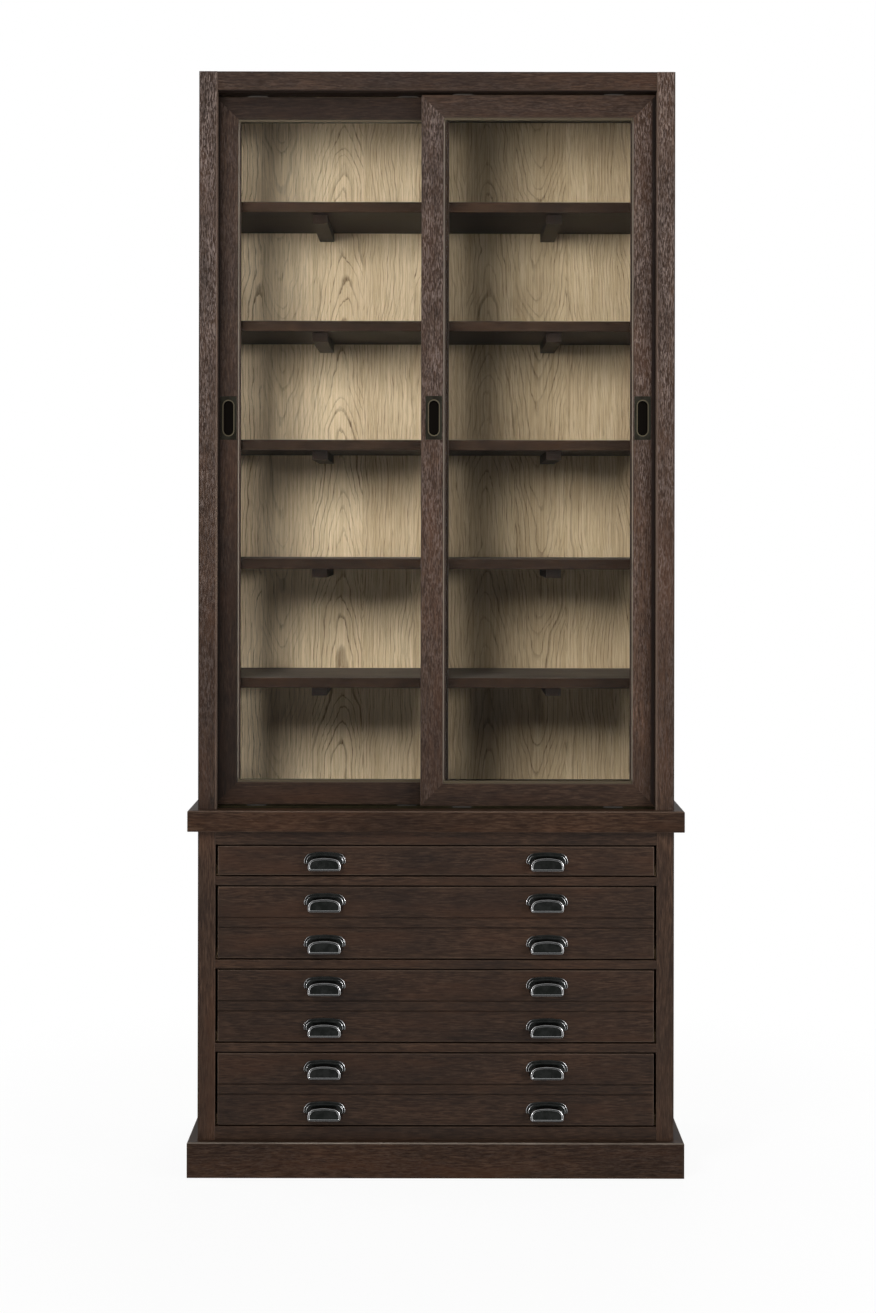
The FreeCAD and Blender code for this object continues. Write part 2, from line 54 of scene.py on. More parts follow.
# Lamps: place, aim, width and height in metres, beam in degrees, power in watts, shown in gloss or not
lamps = {
    "key": ((-0.95, -2.25, 2.10), (0.0, -0.1, 1.53), (0.86, 0.85), 105, 21.0, False),
    "fill": ((0.25, -2.25, 2.10), (0.0, -0.1, 1.53), (0.70, 0.85), 105, 3.2, False),
    "low": ((-0.95, -2.25, 0.95), (0.0, -0.1, 1.10), (0.60, 0.50), 105, 1.0, False),
    "rim": ((2.30, -1.40, 1.45), (0.3, -0.2, 1.45), (0.50, 1.60), 180, 27.0, True),
    "right": ((8.18, -8.60, 1.60), (0.0, -0.1, 1.50), (1.20, 1.40), 180, 520.0, True),
    "left": ((-8.50, -8.29, 1.60), (0.0, -0.1, 1.50), (0.50, 1.40), 180, 265.0, True),
    "rear": ((0.60, 4.20, 2.20), (0.0, 0.2, 1.20), (2.40, 2.40), 180, 110.0, False),
    "left side": ((-3.60, 0.90, 1.60), (-0.5, 0.0, 1.25), (1.60, 1.60), 180, 52.0, False),
    "right side": ((3.60, 0.90, 1.60), (0.5, 0.0, 1.25), (1.60, 1.60), 180, 30.0, False),
    "top": ((0.0, 0.90, 4.30), (0.0, 0.1, 2.30), (1.20, 1.00), 180, 22.0, False),
}
ambient_strength = 0.05

# Floor, which glows less near the object, so that the shadow shows there
floor_radius = 14.0
floor_sides = 96
floor_drop = 0.0005
floor_glow_share = 0.92
shadow_reach = (0.7, 1.7)
floor_grey = (0.86, 0.86, 0.86, 1)
floor_pale = (0.90, 0.90, 0.90, 1)
speck_steps = (40, 40, 40)
white = (1, 1, 1, 1)

# Normals: their largest part from the start to the middle of a rounded edge, and their rise on level faces
edge_limits = (0.995, 0.90)
level_limits = (0.5, 0.9)

# Middle of a noise, and the parts of a line's width and of a border's width that have the full colour
noise_middle = 0.5
line_core_share = 0.5
border_core_share = 0.4

# Stained wood: linear colours
espresso_dark = (0.0125, 0.0058, 0.0031, 1)
espresso_mid = (0.0255, 0.0134, 0.0078, 1)
espresso_light = (0.0475, 0.0270, 0.0168, 1)
espresso_red = (0.0330, 0.0150, 0.0078, 1)
# Black of the pores, also used as painted shade under the shelves, along board outlines and at the doors'
# outer edges
pore_and_shade_black = (0.0045, 0.0022, 0.0015, 1)
lime_grey = (0.185, 0.142, 0.124, 1)
# Lighter brown of rubbed edges, partly wear and partly painted highlight
wear_and_highlight_brown = (0.070, 0.047, 0.034, 1)
# Painted highlight along the plinth's front top edge
highlight_pale = (0.165, 0.140, 0.115, 1)
# Painted light on the shelves' upward faces
lit_top = (0.120, 0.098, 0.082, 1)
# Painted highlight along the beads' side edges
bead_highlight_grey = (0.190, 0.165, 0.132, 1)
bead_olive = (0.050, 0.039, 0.024, 1)
streak_colours = [(0.35, espresso_dark), (0.50, espresso_mid), (0.65, espresso_light)]
tone_tints = [(0.28, (0.60, 0.62, 0.66, 1)), (0.50, white), (0.74, (1.38, 1.30, 1.24, 1))]

# Stained wood: noise steps per metre, twice across the grain and once along it
drift_steps = (5, 5, 1.6)
tone_steps = (12, 12, 4.5)
band_steps = (24, 24, 3.4)
streak_steps = (330, 330, 34)
hair_steps = (560, 560, 48)
fleck_steps = (520, 520, 84)
patch_steps = (45, 45, 9)

# Stained wood: noise values between which each pattern sets in
band_limits = (0.46, 0.70)
hair_limits = (0.56, 0.70)
fleck_limits = (0.46, 0.62)
patch_limits = (0.34, 0.62)
line_breakup_limits = (0.35, 0.65)

# Stained wood: how much of each pattern shows
red_share = 0.60
pore_share = 0.60
low_lime_share = 0.21
patch_shares = (0.45, 1.0)
edge_shares = (0.25, 0.75)
lime_relief_share = 0.4

# Stained wood: how far the grain wanders and how far each board's grain is moved on, in metres
drift_reach = (0.030, 0.030, 0.0)
seed_move = (1.37, 0.71, 2.93)

# Stained wood: roughness, strength and depth of the relief, and gloss
wood_roughness = (0.42, 0.62)
wood_relief = (0.25, 0.0006)
wood_gloss = 0.14
low_gloss = 0.08
low_gloss_boards = ("plinth", "ledge", "shelves")

# Boards whose grain runs up, and from front to back; the grain of the others runs from side to side
along_z = ("base_sides", "base_stiles", "hutch_sides", "hutch_stiles", "hutch_divider",
           "left_door_stiles", "right_door_stiles")
along_y = ("plinth_sides", "ledge_ends", "shelf_battens", "drawer_runners", "drawer_guides")
grain_order = {"X": "YZX", "Y": "ZXY", "Z": "XYZ"}

# Liming of each stained board at the hutch's head, and how light it is at the hutch's foot and head;
# this lightness is partly the board's own tone and partly painted light and shade, which changes with
# height; boards that aren't named take their slot's values
hutch_heights = (0.8, 2.15)
slot_finish_and_light = {"limed_wood": (0.15, (1.1, 1.0)), "dark_wood": (0.05, (0.76, 0.76))}
node_finish_and_light = {
    "hutch_stiles": (0.80, (0.85, 0.96)),
    "hutch_sides": (0.80, (1.0, 0.9)),
    "head_rail": (0.10, (0.84, 0.84)),
    "left_door_stiles": (0.20, (0.36, 0.93)),
    "left_door_rails": (0.05, (0.69, 0.45)),
    "left_door_beads": (0.0, (0.6, 0.6)),
    "right_door_stiles": (0.68, (1.12, 0.97)),
    "right_door_rails": (0.10, (0.73, 0.89)),
    "right_door_beads": (0.0, (0.6, 0.6)),
    "shelves": (0.0, (0.57, 0.86)),
    "shelf_battens": (0.0, (0.4, 0.4)),
    "upper_track": (0.0, (0.3, 0.3)),
    "base_stiles": (0.06, (1.20, 1.20)),
    "drawer_rails": (0.06, (0.84, 0.84)),
    "ledge_front": (0.06, (0.93, 0.93)),
    "plinth_front": (0.40, (0.90, 0.90)),
}

# How light the left and the right board of a pair are: painted light, one side lit more than the other
pair_shading = {"hutch_stiles": (0.80, 1.04), "right_door_stiles": (0.82, 1.06)}

# Lines along the edges: widths in metres, and the least and the most of their colour that shows
hutch_stile_width = 0.0385
inner_line_width = 0.0040
# Width of the painted highlight along the plinth's and the ledge's front top edges
highlight_line_width = 0.0034
border_width = 0.0028
bead_line_width = 0.0026
bead_end_width = 0.0125
# Width of the painted shade along the doors' outer edges
door_shade_width = 0.0125
even_shares = (0.9, 1.0)
broken_shares = (0.45, 0.95)
faint_shares = (0.20, 0.55)

# Boards with a dark outline of painted shade, and the axes on which it borders them
shade_outline = {"hutch_stiles": "X", "base_stiles": "X", "head_rail": "Z"}

# Oak-faced back: upright strips from left to right, each with its tone, the side offset of its rings,
# how its arches climb (over a half they point up, under a half down, near a half they run straight),
# and how strong its lines are; the tones are partly the veneer's own and partly painted light and shade,
# lighter in the left half and darker in the right half
oak_strips = [
    (1.00, 0.82, 0.58, 0.9), (0.78, 0.43, 0.22, 0.45), (0.52, 0.56, 0.92, 1.0), (0.47, 0.97, 0.56, 0.8),
    (0.32, 0.40, 0.70, 0.8), (0.20, 0.48, 0.86, 0.8), (0.20, 0.47, 0.14, 0.9), (0.26, 0.04, 0.53, 0.8),
    (0.28, 0.62, 0.30, 0.8),
]
oak_strip = 0.115
oak_start = -0.513
oak_strip_move = 3.7
strip_middle = 0.5

# Oak-faced back: linear colours, and tints along a strip's tone and along the clouds
oak_pale = (0.745, 0.590, 0.405, 1)
oak_mid = (0.560, 0.420, 0.262, 1)
oak_line = (0.140, 0.082, 0.040, 1)
oak_rear = (0.200, 0.138, 0.080, 1)
oak_tints = [(0.0, (0.70, 0.67, 0.61, 1)), (0.5, white), (1.0, (1.30, 1.32, 1.36, 1))]
cloud_tints = [(0.3, (0.86, 0.83, 0.80, 1)), (0.7, (1.08, 1.08, 1.08, 1))]

# Oak-faced back: rings, in metres, with how steep their arches are and how much their flanks curve
oak_offset = 0.095
ring_spacing = 0.0105
ring_slant = 0.21
arch_round = 0.014
arch_steepness = 0.85
flank_curve = 2.5
sway_steps = (5, 1, 3.5)
sway_reach = 0.050
uneven_steps = (70, 1, 1)
uneven_reach = 0.016

# Oak-faced back: waves of the rings, each with its steps per metre, detail and reach in metres
ring_waves = [((3, 1, 6), 2.0, 0.050), ((60, 1, 9), 3.0, 0.0060), ((240, 1, 50), 2.0, 0.0030)]

# Oak-faced back: parts of the way from ring to ring in which a line sets in and fades
line_start_limits = (0.0, 0.04)
line_fade_limits = (0.28, 0.05)

# Oak-faced back: noise steps per metre, and noise values between which each pattern sets in
oak_fade_steps = (24, 1, 5)
oak_fibre_steps = (300, 1, 7)
oak_pore_steps = (400, 1, 26)
oak_cloud_steps = (9, 1, 3)
oak_fade_limits = (0.36, 0.62)
oak_fibre_limits = (0.34, 0.66)
oak_pore_limits = (0.52, 0.66)
rear_limits = (0.2, 0.8)

# Oak-faced back: how much of the lines shows where they fade, between the pores and as dashes
oak_fade_shares = (0.40, 1.0)
oak_pore_shares = (0.65, 1.0)
oak_dash_shares = (0.22, 0.55)

# Oak-faced back: roughness, strength and depth of the relief, and gloss
oak_roughness = (0.55, 0.72)
oak_relief = (0.20, 0.0004)
oak_gloss = 0.1

# Plain wood of the hidden boards, and how thick the sides of a drawer box are
plain_colours = [(0.30, (0.205, 0.130, 0.070, 1)), (0.52, (0.300, 0.205, 0.120, 1)),
                 (0.72, (0.380, 0.275, 0.170, 1))]
plain_tints = [(0.25, (0.82, 0.80, 0.78, 1)), (0.75, (1.12, 1.12, 1.12, 1))]
plain_pore = (0.120, 0.072, 0.036, 1)
plain_streak_steps = (90, 90, 2.6)
plain_pore_steps = (540, 540, 20)
plain_tone_steps = (6, 6, 1)
plain_pore_limits = (0.60, 0.70)
plain_pore_share = 0.5
plain_roughness = (0.55, 0.75)
plain_relief = (0.2, 0.0005)
plain_gloss = 0.25
box_board_thickness = 0.012

# Cup pulls: linear colours, noise, and how deep the flange is that the hood stands on
pewter_dull = (0.019, 0.020, 0.019, 1)
pewter_black = (0.011, 0.012, 0.011, 1)
# Painted highlight on the rounds
pewter_highlight = (0.92, 0.92, 0.93, 1)
pewter_blotch_steps = (70, 70, 70)
pewter_grit_steps = (900, 900, 900)
pewter_patina_limits = (0.35, 0.65)
pewter_roughness = (0.20, 0.34)
pewter_relief = (0.03, 0.0001)
flange_depth = 0.005

# Cup pulls: parts of the normal between which the painted highlight sets in on rounds, shows on faces that
# look forward, and grows to the sides, its least strength on flange and hood, and how much the blotches vary
# it
round_limits = (0.99, 0.84)
forward_limits = (0.12, 0.40)
sideways_limits = (0.10, 0.55)
least_highlight = (0.05, 0.33)
blotch_shares = (0.80, 1.30)

# Flush pulls: linear colours, noise, how far the rim stands proud, and depths as shares of that
bronze_dull = (0.030, 0.028, 0.021, 1)
bronze_dark = (0.018, 0.016, 0.012, 1)
# Painted shade in the recess
recess_shade_black = (0.006, 0.005, 0.004, 1)
bronze_rubbed = (0.065, 0.055, 0.040, 1)
# Rim line, rubbed and painted as a highlight
rim_wear_and_highlight = (0.125, 0.106, 0.070, 1)
bronze_blotch_steps = (55, 55, 30)
bronze_scratch_steps = (420, 420, 60)
bronze_edge_shares = (0.2, 0.8)
bronze_rim_shares = (0.5, 1.2)
bronze_roughness = (0.30, 0.46)
rim_proud = 0.0007
rim_depth_shares = (0.9, 0.4)
recess_depth_shares = (2.0, 3.0)

# Worn metals: linear colours of the flats and the edges
brass_dull = (0.036, 0.030, 0.016, 1)
brass_rubbed = (0.10, 0.084, 0.046, 1)
zinc_dull = (0.42, 0.42, 0.42, 1)
zinc_rubbed = (0.66, 0.66, 0.66, 1)

# Worn metals: material's name, colours, roughness, wear of the edges, and scratch steps per metre
worn_metals = {
    "track_brass": ("aged_brass", brass_dull, brass_rubbed, 0.34, 0.7, (20, 420, 420)),
    "screw_steel": ("zinc_steel", zinc_dull, zinc_rubbed, 0.30, 0.6, (260, 260, 260)),
}
worn_blotch_steps = (55, 55, 55)
worn_scratch_shares = (0.7, 1.2)
worn_dark_share = 0.55
worn_roughness_spread = (-0.06, 0.10)
worn_edge_roughness = -0.08

# Flush pulls and worn metals alike: where the patina sets in, and strength and depth of the scratches
patina_limits = (0.35, 0.70)
scratch_relief = (0.06, 0.0002)

# Glass and moulded plastic
glass_tint = (0.985, 0.992, 0.986, 1)
glass_roughness = 0.02
glass_index = 1.10
nylon_dark = (0.018, 0.015, 0.012, 1)
nylon_light = (0.032, 0.027, 0.021, 1)
nylon_steps = (300, 300, 300)
nylon_roughness = (0.42, 0.58)
nylon_relief = (0.08, 0.0002)


class Shader:
    """The node tree of a material or a world, with short calls that add and link nodes."""

    def __init__(self, owner):
        self.owner = owner
        owner.use_nodes = True
        self.tree = owner.node_tree
        self.tree.nodes.clear()

    def put(self, socket, value):
        """Link an output to a socket, or set the socket's own value."""
        if isinstance(value, bpy.types.NodeSocket):
            self.tree.links.new(value, socket)
        else:
            socket.default_value = value

    def node(self, kind, inputs=(), **settings):
        """Add a node with its settings, then fill the named inputs."""
        made = self.tree.nodes.new(kind)
        for key, value in settings.items():
            setattr(made, key, value)
        for key, value in dict(inputs).items():
            self.put(made.inputs[key], value)
        return made

    def math(self, operation, *values, clamp=False):
        """The result of one sum."""
        made = self.node("ShaderNodeMath", dict(enumerate(values)), operation=operation, use_clamp=clamp)
        return made.outputs[0]

    def total(self, first, *others):
        """All values added up."""
        for other in others:
            first = self.math("ADD", first, other)
        return first

    def product(self, first, second, clamp=False):
        """Two values multiplied."""
        return self.math("MULTIPLY", first, second, clamp=clamp)

    def vector_math(self, operation, *vectors):
        """The result of one sum of vectors."""
        return self.node("ShaderNodeVectorMath", dict(enumerate(vectors)), operation=operation).outputs[0]

    def parts(self, vector):
        """The X, Y and Z of a vector."""
        return self.node("ShaderNodeSeparateXYZ", {"Vector": vector}).outputs

    def vector(self, **parts):
        """A vector from its X, Y and Z, which are 0 where they aren't given."""
        return self.node("ShaderNodeCombineXYZ", parts).outputs[0]

    def place(self):
        """Where a point lies in the object's frame at rest, in metres."""
        return self.node("ShaderNodeTexCoord").outputs["Object"]

    def facing(self):
        """The direction that the surface faces."""
        return self.node("ShaderNodeNewGeometry").outputs["Normal"]

    def facing_sizes(self):
        """How much the surface faces along X, Y and Z, either way."""
        return self.parts(self.vector_math("ABSOLUTE", self.facing()))

    def scaled(self, vector, scales, offset=(0, 0, 0)):
        """A vector stretched along each axis, then moved."""
        made = self.node("ShaderNodeMapping", {"Vector": vector, "Scale": scales, "Location": offset})
        return made.outputs["Vector"]

    def noise(self, place, steps, detail=3.0, roughness=0.55, distortion=0.0, output="Fac"):
        """Soft noise from 0 to 1, with some steps per metre along each axis."""
        made = self.node("ShaderNodeTexNoise", {"Vector": self.scaled(place, steps), "Scale": 1.0,
                                                "Detail": detail, "Roughness": roughness,
                                                "Distortion": distortion})
        return made.outputs[output]

    def step(self, value, low, high):
        """0 before low, 1 past high, smooth between."""
        made = self.node("ShaderNodeMapRange", {"Value": value, "From Min": low, "From Max": high},
                         interpolation_type="SMOOTHSTEP")
        return made.outputs["Result"]

    def span(self, value, low, high, start=0.0, end=1.0):
        """A value from start to end spread between two limits."""
        made = self.node("ShaderNodeMapRange", {"Value": value, "From Min": start, "From Max": end,
                                                "To Min": low, "To Max": high})
        return made.outputs["Result"]

    def ramp(self, value, stops, interpolation="LINEAR"):
        """A colour read from a list of places and colours."""
        made = self.node("ShaderNodeValToRGB", {"Fac": value})
        made.color_ramp.interpolation = interpolation
        elements = made.color_ramp.elements
        while len(elements) < len(stops):
            elements.new(1.0)
        for element, (place, colour) in zip(elements, stops):
            element.position = place
            element.color = colour
        return made.outputs["Color"]

    def mix(self, share, first, second, blend="MIX"):
        """Two colours mixed by a share; the node's colours are sockets 6 and 7, and its result is 2."""
        made = self.node("ShaderNodeMix", {0: share}, data_type="RGBA", blend_type=blend)
        self.put(made.inputs[6], first)
        self.put(made.inputs[7], second)
        return made.outputs[2]

    def tinted(self, colour, tint):
        """A colour multiplied by a tint."""
        return self.mix(1.0, colour, tint, blend="MULTIPLY")

    def pick(self, share, first, second):
        """The first of two vectors, sockets 4 and 5, where the share is 0, and the second where it is 1."""
        made = self.node("ShaderNodeMix", {0: share}, data_type="VECTOR")
        self.put(made.inputs[4], first)
        self.put(made.inputs[5], second)
        return made.outputs[1]

    def bump(self, height, strength, depth):
        """A normal raised by a height."""
        made = self.node("ShaderNodeBump", {"Height": height, "Strength": strength, "Distance": depth})
        return made.outputs["Normal"]

    def eased_edge(self):
        """1 on rounded edges, whose faces look along no axis, and 0 on the flats."""
        sizes = self.facing_sizes()
        widest = self.math("MAXIMUM", self.math("MAXIMUM", sizes["X"], sizes["Y"]), sizes["Z"])
        return self.step(widest, *edge_limits)

    def seen(self):
        """1 for what the camera sees, also in gloss and through glass, and 0 for the light on the object."""
        path = self.node("ShaderNodeLightPath").outputs
        seen = self.math("MAXIMUM", path["Is Camera Ray"], path["Is Glossy Ray"])
        return self.math("MAXIMUM", seen, path["Is Transmission Ray"])

    def finish(self, **inputs):
        """Close the material with one principled surface."""
        surface = self.node("ShaderNodeBsdfPrincipled", {k.replace("_", " "): v for k, v in inputs.items()})
        return self.output(surface)

    def output(self, surface, kind="ShaderNodeOutputMaterial"):
        """Send a surface to the output."""
        self.node(kind, {"Surface": surface.outputs[0]})
        return self.owner


def new_material(name):
    """The empty node tree of a new material."""
    return Shader(bpy.data.materials.new(name))


def grain_axis(node):
    """The axis that a board's grain runs along."""
    if node in along_z:
        return "Z"
    return "Y" if node in along_y else "X"


def grain_space(shader, axis, seed):
    """Places in the piece with the grain turned along Z, wandering a little from side to side."""
    split = shader.parts(shader.place())
    turned = shader.vector(**{to: split[of] for to, of in zip("XYZ", grain_order[axis])})
    moved = shader.scaled(turned, (1, 1, 1), [seed * move for move in seed_move])
    drift = shader.noise(moved, drift_steps, detail=1.0, roughness=0.5, output="Color")
    centred = shader.vector_math("SUBTRACT", drift, (noise_middle, noise_middle, noise_middle))
    return shader.vector_math("ADD", moved, shader.vector_math("MULTIPLY", centred, drift_reach))


def bordered(shader, box, width, axes):
    """1 within a width of a piece's box sides on the given axes, 0 further in."""
    split = shader.parts(shader.place())
    nearest = None
    for axis in axes:
        index = "XYZ".index(axis)
        middle = (box[0][index] + box[1][index]) / 2
        half = (box[1][index] - box[0][index]) / 2
        away = shader.math("ABSOLUTE", shader.math("SUBTRACT", split[axis], middle))
        inset = shader.math("SUBTRACT", half, away)
        nearest = inset if nearest is None else shader.math("MINIMUM", nearest, inset)
    return shader.step(nearest, width, width * border_core_share)


def beyond(shader, axis, start, full):
    """0 before a place on an axis, 1 past another place, smooth between."""
    return shader.step(shader.parts(shader.place())[axis], start, full)


def front_top_line(shader, box, width):
    """1 along a board's front top edge, on both of its faces."""
    core = width * line_core_share
    upper = beyond(shader, "Z", box[1][2] - width, box[1][2] - core)
    front = beyond(shader, "Y", box[0][1] + width, box[0][1] + core)
    return shader.product(upper, front)


def inner_line(shader, half, width):
    """1 up to a line just outside a distance from the cabinet's middle plane, 0 past it."""
    away = shader.math("ABSOLUTE", shader.parts(shader.place())["X"])
    return shader.step(away, half + width, half + width * line_core_share)


def turned_up(shader, sign):
    """1 on faces that look up, or down where the sign is negative, and 0 on the rest."""
    rise = shader.parts(shader.facing())["Z"]
    return shader.step(shader.product(rise, sign), *level_limits)


def rising(shader, low, high):
    """A value that goes from low at the hutch's foot to high at its head."""
    return shader.span(shader.parts(shader.place())["Z"], low, high, *hutch_heights)


def edge_lines(shader, node):
    """The lines along a board's edges, most of them painted highlight or painted shade: masks, colours and
    how much of the colour shows.
    """
    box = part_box(node)
    lines = []
    # Shelves: painted light on the faces that look up, painted shade on those that look down
    if node == "shelves":
        lines.append((turned_up(shader, 1), lit_top, broken_shares))
        lines.append((turned_up(shader, -1), pore_and_shade_black, broken_shares))
    if node.endswith("_beads"):
        # Beads: a light line along their side edges as a painted highlight, and olive towards their ends
        lines.append((bordered(shader, box, bead_line_width, "X"), bead_highlight_grey, even_shares))
        lines.append((bordered(shader, box, bead_end_width, "Z"), bead_olive, even_shares))
    # Painted highlight: a lighter line along the hutch stiles' inner edges
    if node == "hutch_stiles":
        half = box[1][0] - hutch_stile_width
        lines.append((inner_line(shader, half, inner_line_width), wear_and_highlight_brown, broken_shares))
    # Painted shade along the outline of these boards
    if node in shade_outline:
        lines.append((bordered(shader, box, border_width, shade_outline[node]), pore_and_shade_black, broken_shares))
    # Painted shade: a dark band along each door's outer edge, where the proud hutch stile shades it
    if node == "left_door_stiles":
        edge = box[0][0] + door_shade_width
        lines.append((beyond(shader, "X", edge, edge - door_shade_width / 2), pore_and_shade_black, even_shares))
    if node == "right_door_stiles":
        edge = box[1][0] - door_shade_width
        lines.append((beyond(shader, "X", edge, edge + door_shade_width / 2), pore_and_shade_black, even_shares))
    # Painted highlight along the front top edge of the plinth and of the ledge
    if node == "plinth_front":
        lines.append((front_top_line(shader, box, highlight_line_width), highlight_pale, broken_shares))
    if node == "ledge_front":
        lines.append((front_top_line(shader, box, highlight_line_width), wear_and_highlight_brown, broken_shares))
    # Painted highlight, faint, along the edges of the drawer fronts
    if node.startswith("drawer") and node.endswith("front"):
        lines.append((bordered(shader, box, border_width, "XZ"), wear_and_highlight_brown, faint_shares))
    return lines


def limed_share(shader, grain, liming):
    """Share of pale lime in the grain: short crooked flecks, thicker in patches and towards the top."""
    fleck = shader.step(shader.noise(grain, fleck_steps, roughness=0.6, distortion=0.6), *fleck_limits)
    patch = shader.step(shader.noise(grain, patch_steps), *patch_limits)
    dense = shader.product(fleck, shader.span(patch, *patch_shares))
    return shader.product(dense, rising(shader, low_lime_share * liming, liming))


def tone_and_painted_light(shader, node, lifts):
    """How light a board is: its tone, with painted light that changes with its height in the hutch and with
    its side in a pair of boards.
    """
    lift = rising(shader, *lifts)
    if node not in pair_shading:
        return lift
    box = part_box(node)
    middle = (box[0][0] + box[1][0]) / 2
    on_right = shader.math("GREATER_THAN", shader.parts(shader.place())["X"], middle)
    return shader.product(lift, shader.span(on_right, *pair_shading[node]))


def stained_wood(node, seed):
    """Dark stained wood: broad tone, fine streaks, pores, limed flecks, painted light and shade by height and
    side, and lines along its edges, many of them painted highlight or shade.
    """
    shader = new_material("stained_" + node)
    liming, lifts = node_finish_and_light.get(node, slot_finish_and_light[slot_of[node]])
    grain = grain_space(shader, grain_axis(node), seed)
    tone = shader.noise(grain, tone_steps)
    band = shader.noise(grain, band_steps)
    streak = shader.noise(grain, streak_steps, detail=4.0, roughness=0.66)
    hair = shader.noise(grain, hair_steps, detail=2.0)
    red = shader.product(shader.step(band, *band_limits), red_share)
    colour = shader.mix(red, shader.ramp(streak, streak_colours), espresso_red)
    colour = shader.tinted(colour, shader.ramp(tone, tone_tints))
    pores = shader.product(shader.step(hair, *hair_limits), pore_share)
    colour = shader.mix(pores, colour, pore_and_shade_black)
    lime = limed_share(shader, grain, liming)
    colour = shader.mix(lime, colour, lime_grey)
    # Rounded edges mixed lighter: partly wear, partly painted highlight
    edge = shader.product(shader.eased_edge(), shader.span(streak, *edge_shares))
    colour = shader.mix(edge, colour, wear_and_highlight_brown)
    # The board's tone with painted light and shade by height and side
    lift = tone_and_painted_light(shader, node, lifts)
    colour = shader.tinted(colour, shader.vector(X=lift, Y=lift, Z=lift))
    # Noise that breaks up the painted highlight and shade lines along the edges
    line_breakup = shader.step(tone, *line_breakup_limits)
    for mask, line_colour, shares in edge_lines(shader, node):
        colour = shader.mix(shader.product(mask, shader.span(line_breakup, *shares)), colour, line_colour)
    relief = shader.math("SUBTRACT", shader.total(streak, shader.product(lime, lime_relief_share)), hair)
    return shader.finish(Base_Color=colour, Roughness=shader.span(streak, *wood_roughness),
                         Specular_IOR_Level=low_gloss if node.startswith(low_gloss_boards) else wood_gloss,
                         Normal=shader.bump(relief, *wood_relief))


def oak_plan(shader, strip, column):
    """One column of the strips' table, read as a plain number at the strip's place in it."""
    count = len(oak_strips)
    greys = [(row[column], row[column], row[column], 1) for row in oak_strips]
    stops = [(number / count, grey) for number, grey in enumerate(greys)]
    shown = shader.ramp(shader.math("DIVIDE", strip, count), stops, "CONSTANT")
    return shader.total(shown, 0.0)


def oak_rings(shader, own, split, strip):
    """Growth lines of a strip: nested arches that climb along it, each with a sharp edge that fades."""
    across = shader.product(shader.math("SUBTRACT", shader.math("FRACT", strip), strip_middle), oak_strip)
    middle = shader.span(oak_plan(shader, strip, 1), -oak_offset, oak_offset)
    sway = shader.math("SUBTRACT", shader.noise(own, sway_steps, detail=2.0), noise_middle)
    side = shader.total(shader.math("SUBTRACT", across, middle), shader.product(sway, sway_reach))
    square = shader.product(side, side)
    arch = shader.math("SQRT", shader.total(square, arch_round ** 2))
    flank = shader.total(shader.product(arch, arch_steepness), shader.product(square, flank_curve))
    slant = shader.span(oak_plan(shader, strip, 2), -ring_slant, ring_slant)
    climb = shader.product(split["Z"], slant)
    waves = [shader.product(shader.noise(own, steps, detail), reach) for steps, detail, reach in ring_waves]
    rings = shader.total(climb, flank, shader.total(*waves))
    order = shader.vector(X=rings, Y=split["X"])
    uneven = shader.product(shader.noise(order, uneven_steps, detail=1.0), uneven_reach)
    turn = shader.math("FRACT", shader.math("DIVIDE", shader.total(rings, uneven), ring_spacing))
    line = shader.product(shader.step(turn, *line_fade_limits), shader.step(turn, *line_start_limits))
    return shader.product(line, oak_plan(shader, strip, 3))


def oak_veneer(name):
    """Pale veneer in upright strips, each with its own nested ring lines and tone, and a plain rear."""
    shader = new_material(name)
    place = shader.place()
    split = shader.parts(place)
    strip = shader.math("DIVIDE", shader.math("SUBTRACT", split["X"], oak_start), oak_strip)
    moved = shader.vector(Z=shader.product(shader.math("FLOOR", strip), oak_strip_move))
    own = shader.vector_math("ADD", place, moved)
    line = oak_rings(shader, own, split, strip)
    fade = shader.step(shader.noise(own, oak_fade_steps, detail=2.0), *oak_fade_limits)
    fibre = shader.noise(own, oak_fibre_steps, detail=4.0, roughness=0.7)
    pore = shader.step(shader.noise(own, oak_pore_steps), *oak_pore_limits)
    cloud = shader.noise(own, oak_cloud_steps, detail=2.0)
    colour = shader.mix(shader.step(fibre, *oak_fibre_limits), oak_mid, oak_pale)
    broken = shader.product(shader.span(fade, *oak_fade_shares), shader.span(pore, *oak_pore_shares))
    colour = shader.mix(shader.product(line, broken), colour, oak_line)
    dashes = shader.product(pore, shader.span(line, *oak_dash_shares))
    colour = shader.mix(dashes, colour, oak_line)
    colour = shader.tinted(colour, shader.ramp(oak_plan(shader, strip, 0), oak_tints))
    colour = shader.tinted(colour, shader.ramp(cloud, cloud_tints))
    rearward = shader.step(shader.parts(shader.facing())["Y"], *rear_limits)
    colour = shader.mix(rearward, colour, shader.mix(fibre, oak_rear, oak_mid))
    height = shader.math("SUBTRACT", fibre, shader.total(line, pore))
    return shader.finish(Base_Color=colour, Roughness=shader.span(fibre, *oak_roughness),
                         Specular_IOR_Level=oak_gloss, Normal=shader.bump(height, *oak_relief))


def plain_grain(shader, node, seed):
    """Grain of a hidden board, which turns from the back of a drawer box to its sides."""
    grain = grain_space(shader, grain_axis(node), seed)
    if not node.endswith("_box"):
        return grain
    away = shader.math("ABSOLUTE", shader.parts(shader.place())["X"])
    in_side = shader.math("GREATER_THAN", away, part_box(node)[1][0] - box_board_thickness)
    return shader.pick(in_side, grain, grain_space(shader, "Y", seed))


